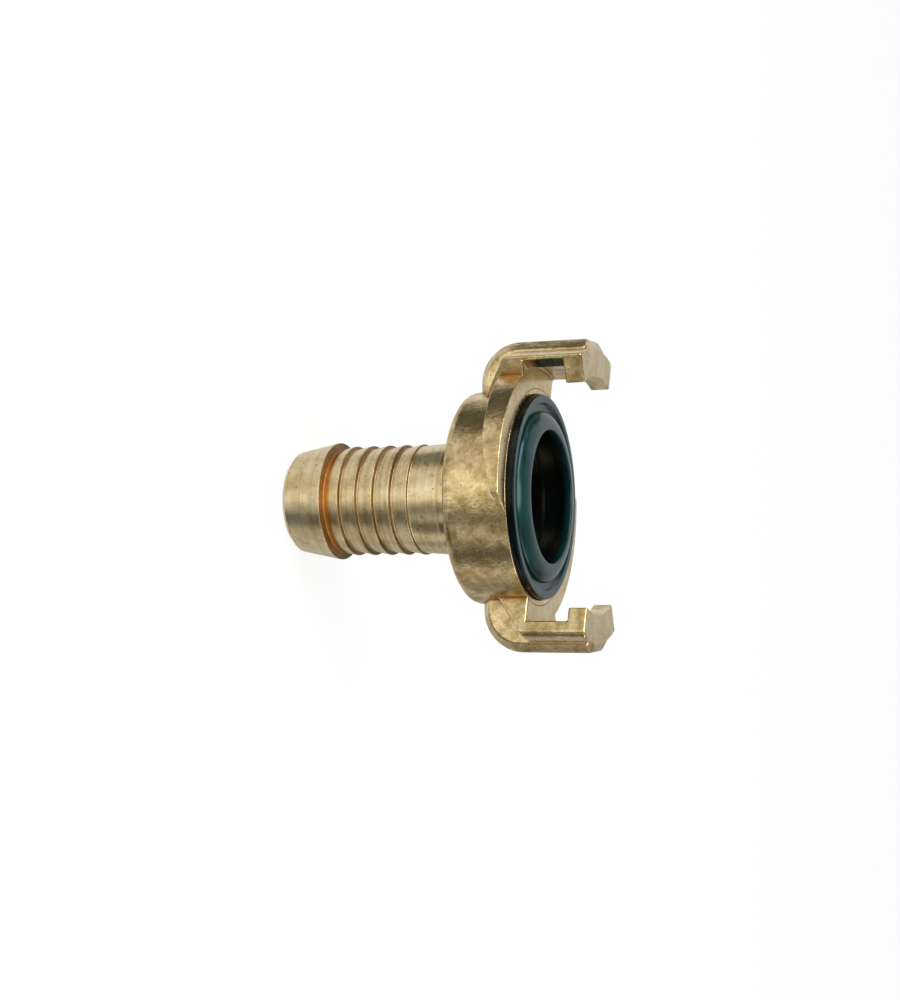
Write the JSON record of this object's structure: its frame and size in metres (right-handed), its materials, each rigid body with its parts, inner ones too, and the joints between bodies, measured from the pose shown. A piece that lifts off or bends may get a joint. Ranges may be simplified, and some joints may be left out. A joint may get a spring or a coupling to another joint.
{
  "type": "quick connector",
  "caption": "Claw coupling half for a water hose: brass body with hooked claws, cam flanges and a barbed tail, and a black moulded seal in its face.",
  "frame": {"origin": "on the axis, at the level of the hose tail's end", "axes": "+Z along the axis from the hose tail to the claws, +X through the middle of one claw, +Y towards the cut end of that claw's cam"},
  "size_m": [0.0512, 0.0426, 0.0537],
  "materials": {
    "brass": "forged and turned",
    "rubber": "satin moulded"
  },
  "bodies": {
    "root": {"coupling_body": "brass", "form_seal": "rubber"}
  },
  "joints": []
}
